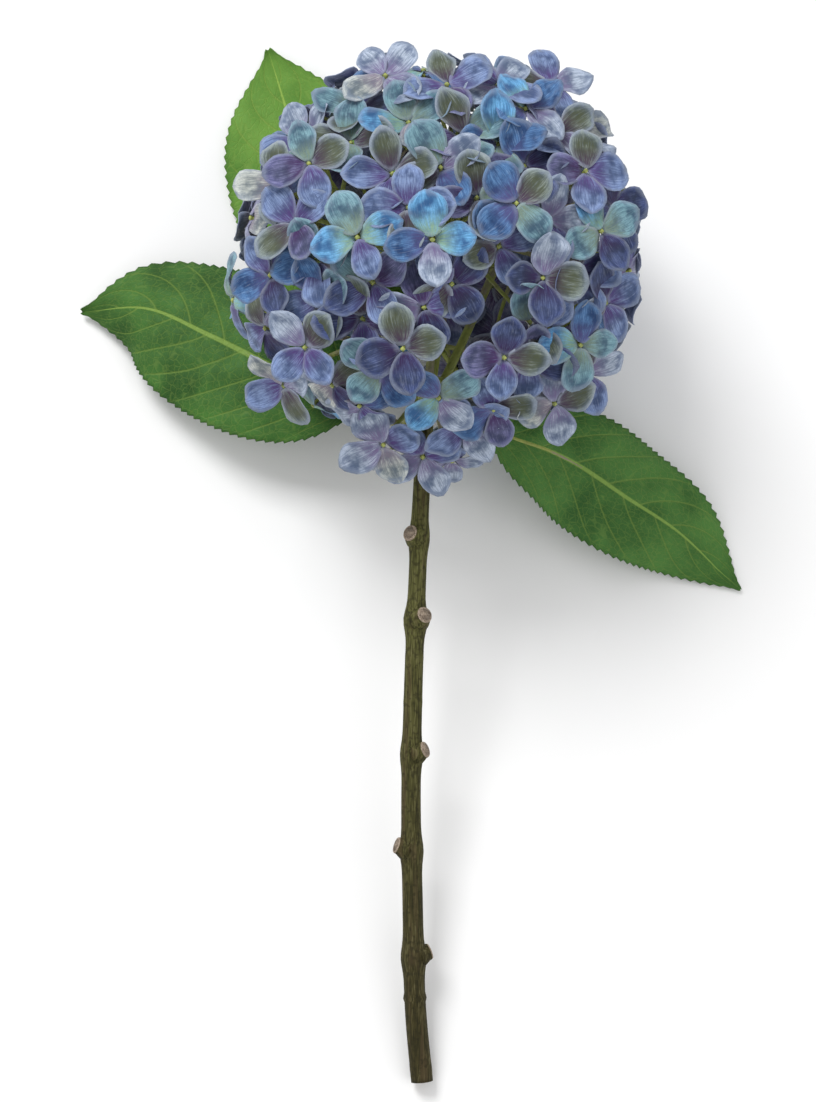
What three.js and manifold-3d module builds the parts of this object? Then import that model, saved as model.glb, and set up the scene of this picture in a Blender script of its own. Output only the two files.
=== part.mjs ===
// Cut hydrangea: a woody stem with three leaves and a round mophead of four-sepalled florets, lying on a
// surface. Millimetres. The finished group has +Z up and stands on Z = 0.
//
// The flower is laid out in a frame of its own and then laid down:
//   X  to the right across the flower
//   Y  along the stem, from the cut end (0) up to the flower head
//   Z  out of the front of the flower head
// The stem tilts up from the surface by TILT, because the head is thicker than the cut end.

import * as THREE from "three";
import { mergeVertices } from "three/addons/utils/BufferGeometryUtils.js";
import Module from "manifold-3d";

// ---------------------------------------------------------------- driving dimensions
const STEM_LENGTH = 305; // cut end to the top leaf joint, where the truss begins
const STEM_END_RADIUS = 5.1; // at the cut
const STEM_TOP_RADIUS = 3.8;
const HEAD_RADIUS = 92; // middle of the head to the eye of a floret
const HEAD_LEAN = 6; // the middle of the head lies this far to the right of the cut end
const STEM_IN_HEAD = 17; // how far the top of the stem reaches inside the head
const HEAD_PRESS = 6; // the head is flattened by this much where it rests
const FLORET_RADIUS = 20.5; // eye to sepal tip
const SEPAL_THICKNESS = 1.2;
const SEPAL_RISE = 0.24; // how far the sepals lift from flat, per millimetre out from the eye
const PEDICEL_RADIUS = 0.9;
const STALK_RADIUS = 1.3;
const ARM_RADIUS = 2.1;
const KNUCKLE_RADIUS = 4; // swelling where an arm of the truss divides into stalks
const LEAF_THICKNESS = 1.1;
const MIDRIB_DEPTH = 1.3; // how far the midrib stands out under the blade
const PETIOLE_RADIUS = 2;
const JOINT_GAP = 0.3; // between two pieces that meet
const SEPAL_GAP = 1; // between two florets
const LEAF_GAP = 5; // between a floret and a leaf beside it
const SURFACE_GAP = 0.6; // pressed florets and leaves keep this off the surface
const LEAF_CUSHION = 2; // florets above the back leaf keep this off it

const HEAD_MIDDLE = new THREE.Vector3(HEAD_LEAN, STEM_LENGTH + HEAD_RADIUS - STEM_IN_HEAD, 0);
const HEAD_REST_HEIGHT = HEAD_RADIUS - HEAD_PRESS; // middle of the head above the surface
const TILT = Math.asin((HEAD_REST_HEIGHT - STEM_END_RADIUS) / HEAD_MIDDLE.y);
const UP = new THREE.Vector3(0, Math.sin(TILT), Math.cos(TILT)); // away from the surface
const FRONT = new THREE.Vector3(0, 0, 1);

const v3 = (x, y, z) => new THREE.Vector3(x, y, z);

// Height of a point above the surface that the flower lies on.
const heightOf = (p) => p.dot(UP) + STEM_END_RADIUS * Math.cos(TILT);

// The point moved straight up or down to the given height, or up only.
const settled = (p, height) => p.clone().addScaledVector(UP, height - heightOf(p));
const lifted = (p, height) => settled(p, Math.max(height, heightOf(p)));

// A steady number from 0 to 1 for item i, a different series for each k.
function chance(i, k) {
  const s = Math.sin(i * 12.9898 + k * 78.233) * 43758.5453;
  return s - Math.floor(s);
}

// ---------------------------------------------------------------- solids
const wasm = await Module();
wasm.setup();

// A closed solid: a three.js shape with each of its points moved to where place(point) says.
function shaped(shape, place) {
  shape.deleteAttribute("normal");
  shape.deleteAttribute("uv");
  const merged = mergeVertices(shape, 1e-4);
  const at = merged.getAttribute("position");
  for (let i = 0; i < at.count; i++) {
    const moved = place(new THREE.Vector3().fromBufferAttribute(at, i));
    at.setXYZ(i, moved.x, moved.y, moved.z);
  }
  const triVerts = new Uint32Array(merged.index.array);
  return new wasm.Manifold(new wasm.Mesh({ numProp: 3, vertProperties: at.array, triVerts }));
}

function joined(solids) {
  return solids.reduce((all, next) => all.add(next));
}

// A round bar along a line of points, with a radius for each: a cylinder whose rings are moved along the line.
function bar(line, radii, sides) {
  const last = line.length - 1;
  return shaped(new THREE.CylinderGeometry(1, 1, 1, sides, last), (p) => {
    const k = Math.round((0.5 - p.y) * last);
    const along = line[Math.min(k + 1, last)].clone().sub(line[Math.max(k - 1, 0)]).normalize();
    const hint = Math.abs(along.z) < 0.9 ? FRONT : v3(1, 0, 0);
    const side = new THREE.Vector3().crossVectors(hint, along).normalize();
    const other = new THREE.Vector3().crossVectors(along, side);
    return line[k].clone().addScaledVector(side, radii[k] * p.x).addScaledVector(other, radii[k] * p.z);
  });
}

const flower = new THREE.Group();

function addPiece(name, made, colour, roughness) {
  const { vertProperties, triVerts } = made.getMesh();
  const geometry = new THREE.BufferGeometry();
  geometry.setAttribute("position", new THREE.BufferAttribute(new Float32Array(vertProperties), 3));
  geometry.setIndex(new THREE.BufferAttribute(new Uint32Array(triVerts), 1));
  const material = new THREE.MeshStandardMaterial({ color: colour, roughness, metalness: 0 });
  const mesh = new THREE.Mesh(geometry, material);
  mesh.name = name;
  flower.add(mesh);
}

// ---------------------------------------------------------------- stem
// A woody shoot with a slight wander. It swells at each leaf joint, where a cut side shoot left a short stub.
const STEM_WANDER = [
  // share of the stem from the cut end, and how far its middle lies to the right
  [0, 0],
  [0.12, -3.2],
  [0.28, -4.4],
  [0.43, -5.1],
  [0.58, -4.2],
  [0.71, -2.8],
  [0.85, -1],
  [1, 1.5],
];
const STEM_JOINTS = [
  // share of the stem, extra radius there, and the side of the stub in degrees (0 right, 90 front)
  { at: 0.19, swell: 1.2, side: -15 },
  { at: 0.35, swell: 1, side: 165 },
  { at: 0.495, swell: 1, side: 25 },
  { at: 0.7, swell: 1.6, side: 55 },
  { at: 0.825, swell: 1, side: 130 },
];
const STEM_SIDES = 8;
const JOINT_SPREAD = 6; // half the length of a swelling
const STUB_RADIUS = 3;
const STUB_REACH = 2.4; // how far a stub stands out of the bark
const STUB_LEAN = 0.35; // towards the head

const wander = new THREE.CatmullRomCurve3(STEM_WANDER.map(([share, x]) => v3(x, share * STEM_LENGTH, 0)));

// The middle of the stem at a share of its length: the curve's own steps are even between its points.
function stemMiddle(share) {
  const k = Math.max(1, STEM_WANDER.findIndex(([at]) => at >= share));
  const [from, to] = [STEM_WANDER[k - 1][0], STEM_WANDER[k][0]];
  return wander.getPoint((k - 1 + (share - from) / (to - from)) / (STEM_WANDER.length - 1));
}

function stemRadius(share) {
  const swellings = STEM_JOINTS.map((joint) => {
    const away = ((share - joint.at) * STEM_LENGTH) / JOINT_SPREAD;
    return joint.swell * Math.exp(-away * away);
  });
  return swellings.reduce((a, b) => a + b, THREE.MathUtils.lerp(STEM_END_RADIUS, STEM_TOP_RADIUS, share));
}

const spread = JOINT_SPREAD / STEM_LENGTH;
const jointShares = STEM_JOINTS.flatMap((joint) => [-2, -1, 0, 1, 2].map((k) => joint.at + k * spread));
const stemShares = [...STEM_WANDER.map(([share]) => share), ...jointShares].sort((a, b) => a - b);
const bark = bar(stemShares.map(stemMiddle), stemShares.map(stemRadius), STEM_SIDES);
const stubs = STEM_JOINTS.map((joint) => {
  const a = THREE.MathUtils.degToRad(joint.side);
  const out = v3(Math.cos(a), STUB_LEAN, Math.sin(a)).normalize();
  const root = stemMiddle(joint.at);
  const end = root.clone().addScaledVector(out, stemRadius(joint.at) + STUB_REACH);
  return bar([root, end], [STUB_RADIUS * 1.25, STUB_RADIUS], 7);
});
addPiece("stem", joined([bark, ...stubs]), 0x4c4a24, 0.85);
const stemTop = stemMiddle(1);

// ---------------------------------------------------------------- leaves
// A long stalk from the top leaf joint, running on as the midrib under a blade with a pointed tip. The routes
// pass round the head, so they are in hundredths of its radius, from the top of the stem.
const BLADE_OUTLINE = [
  // share of the blade from base to tip, and its half width there as a share of the widest
  [0, 0.06],
  [0.08, 0.48],
  [0.17, 0.75],
  [0.29, 0.94],
  [0.42, 1],
  [0.58, 0.95],
  [0.72, 0.79],
  [0.82, 0.58],
  [0.9, 0.33],
  [0.96, 0.12],
  [1, 0.02],
];
const BLADE_STEPS = 12;
const BLADE_COLUMNS = 6;
const RIB_TAPER = 0.7; // how much of its depth the midrib has lost at the tip
const LEAF_JOINT_DEPTH = 9; // from the top of the stem down to where the leaf stalks leave it
const LEAVES = [
  {
    name: "leaf_back",
    lies: true, // flat on the surface, under the head
    stalk: [[-3, 14, -38], [-9, 42, -74]],
    midrib: [[-14, 57, -86], [-38, 98, -98], [-65, 152, -108], [-83, 207, -119]],
    halfWidth: 45,
    arch: 0,
    colour: 0x4d7f2c,
  },
  {
    name: "leaf_left",
    lies: false,
    stalk: [[-13, 0, -15]],
    midrib: [[-30, 8, -30], [-68, 26, -46], [-111, 48, -62], [-145, 63, -76], [-180, 62, -88]],
    halfWidth: 39,
    arch: 6,
    colour: 0x3c6a26,
  },
  {
    name: "leaf_right",
    lies: false,
    stalk: [[17, -5, -9]],
    midrib: [[33, -3, -18], [73, -17, -32], [107, -38, -44], [136, -57, -54], [166, -86, -63]],
    halfWidth: 29,
    arch: 5,
    colour: 0x35632a,
  },
];

const fromTop = ([x, y, z]) => v3(x, y, z).multiplyScalar(HEAD_RADIUS / 100).add(v3(0, STEM_LENGTH, 0));

function outlineAt(share) {
  const k = Math.max(1, BLADE_OUTLINE.findIndex(([at]) => at >= share));
  const [from, widthFrom] = BLADE_OUTLINE[k - 1];
  const [to, widthTo] = BLADE_OUTLINE[k];
  return THREE.MathUtils.lerp(widthFrom, widthTo, (share - from) / (to - from));
}

// A point of a blade: share runs from base to tip, and s from edge (-1) to edge (1). The midrib stands out
// below.
function bladePoint(leaf, share, s, under) {
  const curve = new THREE.CatmullRomCurve3(leaf.midrib.map(fromTop));
  const along = curve.getTangentAt(share);
  const across = new THREE.Vector3().crossVectors(UP, along).normalize();
  const face = new THREE.Vector3().crossVectors(along, across);
  const width = outlineAt(share);
  const flat = curve.getPointAt(share).addScaledVector(across, s * width * leaf.halfWidth);
  flat.addScaledVector(face, -leaf.arch * width * s * s);
  const rest = leaf.lies ? settled : lifted;
  if (!under) return rest(flat, SURFACE_GAP + MIDRIB_DEPTH).addScaledVector(face, LEAF_THICKNESS);
  const rib = MIDRIB_DEPTH * Math.max(0, 1 - Math.abs(s) * BLADE_COLUMNS) * (1 - RIB_TAPER * share);
  return rest(flat, SURFACE_GAP + MIDRIB_DEPTH).addScaledVector(face, -rib);
}

const leafJointShare = 1 - LEAF_JOINT_DEPTH / STEM_LENGTH;
const leafJoint = stemMiddle(leafJointShare);
for (const leaf of LEAVES) {
  const sheet = new THREE.BoxGeometry(2, 2, 1, BLADE_COLUMNS, 1, BLADE_STEPS);
  const blade = shaped(sheet, (p) => bladePoint(leaf, p.z + 0.5, p.x, p.y < 0));
  const outward = fromTop(leaf.stalk[0]).sub(leafJoint).normalize();
  const clear = stemRadius(leafJointShare) + JOINT_GAP + PETIOLE_RADIUS * Math.abs(outward.y);
  const start = leafJoint.clone().addScaledVector(outward, clear / Math.hypot(outward.x, outward.z));
  const rib = [0, 0.05, 0.1].map((share) => {
    return bladePoint(leaf, share, 0, true).addScaledVector(UP, LEAF_THICKNESS);
  });
  const route = [start, ...leaf.stalk.map(fromTop), ...rib];
  const line = new THREE.CatmullRomCurve3(route).getPoints(9);
  const radii = line.map((_, k) => THREE.MathUtils.lerp(PETIOLE_RADIUS, MIDRIB_DEPTH * 0.7, k / 9));
  addPiece(leaf.name, joined([blade, bar(line, radii, 6)]), leaf.colour, 0.6);
}

// Points all over the leaves, for keeping the florets off them. The back leaf's blade lies under the head.
const leafPoints = LEAVES.flatMap((leaf) => {
  const shares = leaf.name === "leaf_back" ? [0] : [0, 0.15, 0.3, 0.45, 0.6, 0.8, 1];
  const blade = shares.flatMap((share) => [-1, -0.5, 0, 0.5, 1].map((s) => bladePoint(leaf, share, s, false)));
  const stalk = new THREE.CatmullRomCurve3([leafJoint, ...leaf.stalk.map(fromTop), blade[2]]);
  return [...blade, ...stalk.getPoints(6)];
});
const leafDistance = (p) => Math.min(...leafPoints.map((q) => q.distanceTo(p)));

const backBlade = new THREE.CatmullRomCurve3(LEAVES[0].midrib.map(fromTop)).getPoints(12);
function overBackLeaf(p) {
  const away = Math.min(...backBlade.map((q) => Math.hypot(q.x - p.x, q.y - p.y)));
  return away < LEAVES[0].halfWidth + FLORET_RADIUS * 0.7;
}

// ---------------------------------------------------------------- plan of the head
// Florets grow in threes, one cyme to a stalk. Those of the front are set out one by one: how far across and up
// from the middle of the head, in hundredths of its radius, and how far the floret is turned, in degrees.
const FRONT_CYMES = [
  [[-35, 10, 0], [-32, -11, 30], [-60, 0, 15]],
  [[-2, 9, 5], [-13, 24, 40], [-22, 43, 10]],
  [[-57, 43, 20], [-68, 61, 35], [-43, 59, 5]],
  [[-74, 36, 10], [-66, 17, 40], [-78, -7, 25]],
  [[-23, 83, 30], [-40, 76, 0], [-14, 69, 20]],
  [[5, 82, 15], [31, 58, 0], [14, 62, 25]],
  [[53, 80, 10], [42, 71, 30], [29, 82, 40]],
  [[58, 60, 35], [72, 66, 5], [44, 47, 20]],
  [[67, 40, 0], [93, 34, 30], [84, 24, 15]],
  [[74, 13, 25], [56, 20, 0], [71, -7, 20]],
  [[20, 31, 15], [2, 46, 30], [35, 25, 40]],
  [[49, -8, 0], [31, 7, 20], [47, -31, 35]],
  [[7, -11, 40], [-6, -22, 10], [-15, -39, 25]],
  [[80, -20, 30], [95, -5, 10], [65, -38, 0]],
  [[-37, -29, 5], [-26, -51, 35], [-58, -18, 20]],
  [[-59, -39, 40], [-83, -33, 15], [-101, -20, 0]],
  [[-73, -60, 10], [-50, -60, 30], [-37, -70, 20]],
  [[30, -43, 0], [27, -70, 25], [1, -64, 40]],
  [[54, -65, 15], [72, -54, 35], [45, -50, 5]],
  [[-24, -84, 20], [-25, -99, 0], [-6, -90, 30]],
  [[8, -97, 10], [14, -78, 35]],
];

// The sides and back of the head are filled by an even spiral of cymes, each of three florets round its middle.
const SPIRAL_CYMES = 51; // on a whole globe
const SPIRAL_BACK = 0.3; // the spiral stops this far in front of the middle of the head, as a share of the radius
const STEM_CLEARING = -0.86; // cymes nearer to the stem than this are left out
const CYME_SPREAD = 0.203; // from the middle of a cyme to its florets, as a share of the radius
const BACK_DEPTH = 0.93; // florets of the back sit nearer to the middle of the head by this share
const SMALLEST_FLORET = 9; // florets with less room than this beside a leaf are left out
const FRONT_CLEARING = 0.265; // and so are those nearer to a front one than this share of the radius
const FRONT_TURN = 0.3; // how much the florets of the front look towards the front
const HEAD_NOD = 5.5; // degrees that the front of the head hangs down towards the stem
const GOLDEN_ANGLE = Math.PI * (3 - Math.sqrt(5));

function frontDirection([across, up]) {
  const x = across / 100;
  const y = up / 100;
  const upright = v3(x, y, Math.sqrt(Math.max(0, 1 - x * x - y * y)));
  return upright.applyAxisAngle(v3(1, 0, 0), THREE.MathUtils.degToRad(HEAD_NOD));
}

// Florets underneath are pressed back by what they lie on, and those beside a leaf are smaller.
function floret(towards, degrees, depth, frontTurn) {
  const direction = towards.clone().normalize();
  const wanted = HEAD_RADIUS * depth * Math.max(1, towards.length());
  const outside = HEAD_MIDDLE.clone().addScaledVector(direction, wanted);
  const floor = SURFACE_GAP + (overBackLeaf(outside) ? MIDRIB_DEPTH + LEAF_THICKNESS + LEAF_CUSHION : 0);
  const fall = -direction.dot(UP);
  const thick = SEPAL_THICKNESS + SEPAL_RISE * FLORET_RADIUS;
  const room = fall > 0 ? (HEAD_REST_HEIGHT - floor - thick) / fall : Infinity;
  const eye = HEAD_MIDDLE.clone().addScaledVector(direction, Math.min(wanted, room));
  const face = direction.clone().addScaledVector(FRONT, frontTurn).normalize();
  const radius = Math.min(FLORET_RADIUS, leafDistance(eye) - LEAF_GAP);
  return { eye, direction, face, turn: THREE.MathUtils.degToRad(degrees), floor, radius };
}

const frontCymes = FRONT_CYMES.map((rows) => {
  return rows.map((row) => floret(frontDirection(row), row[2], 1, FRONT_TURN));
});

function frontDistance(one) {
  return Math.min(...frontCymes.flat().map((f) => f.eye.distanceTo(one.eye)));
}

function backCymes() {
  const found = [];
  for (let k = 0; k < SPIRAL_CYMES; k++) {
    const y = 1 - (2 * k + 1) / SPIRAL_CYMES;
    const round = Math.sqrt(1 - y * y);
    const middle = v3(round * Math.cos(k * GOLDEN_ANGLE), y, round * Math.sin(k * GOLDEN_ANGLE));
    if (middle.z > SPIRAL_BACK || middle.y < STEM_CLEARING) continue;
    const side = new THREE.Vector3().crossVectors(v3(0, 1, 0), middle).normalize();
    const other = new THREE.Vector3().crossVectors(middle, side);
    const first = chance(k, 1) * 2 * Math.PI;
    const group = [0, 1, 2].map((i) => {
      const a = first + (i * 2 * Math.PI) / 3;
      const reach = side.clone().multiplyScalar(Math.cos(a)).addScaledVector(other, Math.sin(a));
      return floret(middle.clone().addScaledVector(reach, CYME_SPREAD), 360 * chance(k, i + 2), BACK_DEPTH, 0);
    });
    const roomy = group.filter((one) => one.radius > SMALLEST_FLORET);
    found.push(roomy.filter((one) => frontDistance(one) > FRONT_CLEARING * HEAD_RADIUS));
  }
  return found.filter((group) => group.length > 0);
}

const cymes = [...frontCymes, ...backCymes()];
const florets = cymes.flat();

// ---------------------------------------------------------------- truss
// The green branches inside the head. Arms fan out from the top of the stem, each to a knuckle, where stalks
// begin.
const TRUSS_FOOT = 5;
const KNUCKLES = [
  // across, up and forward from the middle of the head, as shares of its radius
  [0.1, 0.44, 0.08],
  [-0.4, 0.12, 0.24],
  [0.38, 0.14, 0.24],
  [-0.34, 0.08, -0.32],
  [0.36, 0.1, -0.32],
  [0.02, 0.02, 0.45],
  [-0.36, -0.42, 0.16],
  [0.36, -0.42, 0.18],
  [-0.08, -0.6, 0.36],
  [0.02, -0.4, -0.4],
].map(([x, y, z]) => HEAD_MIDDLE.clone().add(v3(x, y, z).multiplyScalar(HEAD_RADIUS)));

const foot = stemTop.clone().add(v3(0, JOINT_GAP, 0));
const crown = foot.clone().add(v3(0, TRUSS_FOOT, 0));
const truss = [bar([foot, crown], [STEM_TOP_RADIUS, STEM_TOP_RADIUS * 0.9], 7)];
for (const knuckle of KNUCKLES) {
  const start = crown.clone().add(v3(0, -TRUSS_FOOT / 2, 0));
  const bend = start.clone().lerp(knuckle, 0.45).add(v3(0, -0.06 * HEAD_RADIUS, 0));
  const line = new THREE.QuadraticBezierCurve3(start, bend, knuckle).getPoints(3);
  const swelling = new THREE.IcosahedronGeometry(KNUCKLE_RADIUS, 0);
  truss.push(bar(line, [1, 1, 0.9, 0.8].map((share) => share * ARM_RADIUS), 5));
  truss.push(shaped(swelling, (p) => p.add(knuckle)));
}
addPiece("truss", joined(truss), 0x8c9440, 0.7);

// ---------------------------------------------------------------- cymes
// Each is a stalk that forks into a pedicel for each floret, ending in the floret's eye. The four sepals round
// the eye are one dished, lobed plate here, cut back to its own share of the head, so that neighbours never
// cross.
const LOBES = 4;
const LOBE_RIM = [
  // degrees from the middle of the sepal, and the reach there as a share of the floret's radius
  [-45, 0.5],
  [-20, 0.97],
  [20, 0.97],
];
const EYE_RADIUS = 1.5;
const FORK_SHARE = 0.42; // of the way from knuckle to florets

const rim = [];
for (let lobe = 0; lobe < LOBES; lobe++) {
  for (const [degrees, share] of LOBE_RIM) {
    const a = (lobe * 2 * Math.PI) / LOBES + THREE.MathUtils.degToRad(degrees);
    rim.push(new THREE.Vector2(share * Math.cos(a), share * Math.sin(a)));
  }
}
const lobed = new THREE.Shape(rim);

function plate(one) {
  const side = new THREE.Vector3().crossVectors(v3(0, 1, 0), one.face).normalize();
  side.applyAxisAngle(one.face, one.turn);
  const other = new THREE.Vector3().crossVectors(one.face, side);
  const middle = one.eye.clone().sub(HEAD_MIDDLE);
  const near = florets.filter((f) => f !== one && f.eye.distanceTo(one.eye) < 3 * FLORET_RADIUS);
  const walls = near.map((f) => f.direction.clone().sub(one.direction).normalize());
  const facingDown = one.face.dot(UP) < 0;
  return shaped(new THREE.ExtrudeGeometry(lobed, { depth: 1, bevelEnabled: false }), (p) => {
    const share = Math.hypot(p.x, p.y);
    const out = side.clone().multiplyScalar(p.x / share).addScaledVector(other, p.y / share);
    out.addScaledVector(one.face, SEPAL_RISE);
    const limits = walls.map((wall) => {
      const towards = out.dot(wall);
      return towards > 0 ? (-SEPAL_GAP / 2 - middle.dot(wall)) / towards : Infinity;
    });
    const at = one.eye.clone().addScaledVector(out, Math.min(share * one.radius, ...limits));
    const outer = p.z > 0.5;
    if (!outer) at.addScaledVector(one.face, -SEPAL_THICKNESS);
    return lifted(at, one.floor + (outer === facingDown ? 0 : SEPAL_THICKNESS));
  });
}

cymes.forEach((group, k) => {
  const middle = group.reduce((sum, f) => sum.add(f.eye), v3(0, 0, 0)).divideScalar(group.length);
  const knuckle = KNUCKLES.reduce((a, b) => (a.distanceTo(middle) < b.distanceTo(middle) ? a : b));
  const fork = knuckle.clone().lerp(middle, FORK_SHARE);
  const start = knuckle.clone().lerp(fork, (KNUCKLE_RADIUS + JOINT_GAP) / knuckle.distanceTo(fork));
  const eyes = group.map((one) => {
    return one.eye.clone().addScaledVector(one.face, SEPAL_RISE * one.radius * 0.5 + EYE_RADIUS / 2);
  });
  // The stalk runs on into the first pedicel, and the others branch off where it bends.
  const stalk = bar([start, fork, eyes[0]], [STALK_RADIUS, STALK_RADIUS, EYE_RADIUS], 4);
  const branches = eyes.slice(1).map((eye) => bar([fork, eye], [PEDICEL_RADIUS, EYE_RADIUS], 3));
  const colour = new THREE.Color(0x5f86c4).lerp(new THREE.Color(0x7a70b4), chance(k, 7));
  const name = `cyme_${String(k + 1).padStart(2, "0")}`;
  addPiece(name, joined([stalk, ...branches, ...group.map(plate)]), colour, 0.65);
});

// ---------------------------------------------------------------- laid down
const hydrangea = new THREE.Group();
hydrangea.add(flower);
flower.rotation.x = TILT;
const box = new THREE.Box3().setFromObject(hydrangea, true);
const boxMiddle = box.getCenter(new THREE.Vector3());
flower.position.set(-boxMiddle.x, -boxMiddle.y, -box.min.z);

export default hydrangea;
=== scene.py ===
import math
import bpy
import numpy as np
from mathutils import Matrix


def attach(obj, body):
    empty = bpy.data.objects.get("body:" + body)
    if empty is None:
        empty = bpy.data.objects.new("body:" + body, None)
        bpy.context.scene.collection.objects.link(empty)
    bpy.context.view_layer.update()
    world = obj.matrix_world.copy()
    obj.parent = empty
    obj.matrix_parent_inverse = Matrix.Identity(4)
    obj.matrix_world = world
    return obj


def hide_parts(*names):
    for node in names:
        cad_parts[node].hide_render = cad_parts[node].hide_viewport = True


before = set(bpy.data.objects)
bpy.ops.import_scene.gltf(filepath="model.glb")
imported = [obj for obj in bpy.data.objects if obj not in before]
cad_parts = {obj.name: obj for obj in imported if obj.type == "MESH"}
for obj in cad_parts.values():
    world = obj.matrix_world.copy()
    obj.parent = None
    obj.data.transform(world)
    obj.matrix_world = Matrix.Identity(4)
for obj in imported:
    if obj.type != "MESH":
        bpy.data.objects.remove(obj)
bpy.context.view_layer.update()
bpy.ops.object.select_all(action="DESELECT")

# ---------------------------------------------------------------- how the flower lies
# The flower is laid out upright, in metres, with X to the right, Y up the stem from its cut end and Z out of
# the front of the head. It lies on its back, tilted up by the head, which is thicker than the stem.
HEAD_RADIUS = 0.092
HEAD_MIDDLE = np.array((0.006, 0.380, 0.0))
HEAD_REST_HEIGHT = 0.086
STEM_LENGTH = 0.305
STEM_END_RADIUS = 0.0051
TILT = math.asin((HEAD_REST_HEIGHT - STEM_END_RADIUS) / HEAD_MIDDLE[1])
UP = np.array((0, math.sin(TILT), math.cos(TILT)))
LAID = np.array(((1, 0, 0), (0, math.cos(TILT), -math.sin(TILT)), (0, math.sin(TILT), math.cos(TILT))))

stem_points = np.array([v.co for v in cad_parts["stem"].data.vertices])
down_stem = stem_points @ LAID[:, 1]
cut_points = stem_points[down_stem < down_stem.min() + 1e-5]
CUT_END = (cut_points.min(0) + cut_points.max(0)) / 2


def laid(points):
    """Points of the upright flower, where they are once it lies down."""
    return np.asarray(points) @ LAID.T + CUT_END


def height_of(points):
    return np.asarray(points) @ UP + STEM_END_RADIUS * math.cos(TILT)


# ---------------------------------------------------------------- camera, floor and light
# A pale table top under two large soft lamps and an even sky. The camera looks straight at the front of the
# head.
VIEW_HEIGHT = 0.510
VIEW_MIDDLE = (-0.0065, 0.2454, 0.0)
LENS = 100.0
SENSOR = 36.0

bpy.ops.object.camera_add(rotation=(TILT, 0, 0))
camera = bpy.context.object
camera.data.lens = LENS
camera.data.sensor_width = SENSOR
camera.location = laid(np.array(VIEW_MIDDLE) + (0, 0, VIEW_HEIGHT * LENS / SENSOR))
bpy.context.scene.camera = camera

bpy.ops.mesh.primitive_plane_add(size=40, location=(0, 0, 0))
floor = bpy.context.object
floor.name = "floor"
floor_finish = bpy.data.materials.new("pale_floor")
floor_finish.use_nodes = True
floor_finish.node_tree.nodes["Principled BSDF"].inputs["Base Color"].default_value = (0.9, 0.9, 0.9, 1)
floor_finish.node_tree.nodes["Principled BSDF"].inputs["Roughness"].default_value = 0.9
floor.data.materials.append(floor_finish)

sky = bpy.data.worlds.new("even_sky")
sky.use_nodes = True
sky.node_tree.nodes["Background"].inputs["Color"].default_value = (1, 1, 1, 1)
sky.node_tree.nodes["Background"].inputs["Strength"].default_value = 0.68
bpy.context.scene.world = sky
bpy.context.scene.view_settings.view_transform = "Standard"

for lamp_name, place, turn, size, power in (
    ("key_lamp", (-0.9, 1.3, 1.9), (-0.62, -0.42, 0), 1.0, 38),
    ("fill_lamp", (1.2, -0.8, 1.6), (0.45, 0.62, 0), 1.6, 8),
):
    bpy.ops.object.light_add(type="AREA", location=place, rotation=turn)
    lamp = bpy.context.object
    lamp.name = lamp_name
    lamp.data.size = size
    lamp.data.energy = power

# ---------------------------------------------------------------- stem
# A woody flowering shoot, cut square at the bottom. Its bark is fibrous, and it swells at each leaf joint,
# where a pruned side shoot left a short stub with a pale, corky face.
STEM_TOP_RADIUS = 0.0038
STEM_WANDER = [
    (0, 0), (0.12, -0.0032), (0.28, -0.0044), (0.43, -0.0051),
    (0.58, -0.0042), (0.71, -0.0028), (0.85, -0.001), (1, 0.0015),
]
# share of the stem, extra radius, side of the stub in degrees (0 right, 90 front)
STEM_JOINTS = [
    (0.19, 0.0012, -15), (0.35, 0.001, 165), (0.495, 0.001, 25), (0.7, 0.0016, 55), (0.825, 0.001, 130),
]
JOINT_SPREAD = 0.006
STUB_RADIUS = 0.0036
STUB_REACH = 0.0024
STUB_LEAN = 0.35


def catmull_rom(points, t):
    """Points along a smooth curve through the given points; t runs from 0 to 1 in even steps between them."""
    p = np.asarray(points, float)
    first = 2 * p[0] - p[1]
    last = 2 * p[-1] - p[-2]
    p = np.vstack((first, p, last))
    at = np.clip(np.asarray(t, float), 0, 1) * (len(p) - 3)
    k = np.minimum(at.astype(int), len(p) - 4)
    f = (at - k)[:, None]
    a, b, c, d = p[k], p[k + 1], p[k + 2], p[k + 3]
    return b + 0.5 * f * (c - a + f * (2 * a - 5 * b + 4 * c - d + f * (3 * (b - c) + d - a)))


def stem_middle(share):
    shares = [s for s, _ in STEM_WANDER]
    t = np.interp(share, shares, np.linspace(0, 1, len(shares)))
    return catmull_rom([(x, s * STEM_LENGTH, 0) for s, x in STEM_WANDER], np.atleast_1d(t))


def unit(v):
    v = np.asarray(v, float)
    return v / np.linalg.norm(v, axis=-1, keepdims=True)


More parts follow.
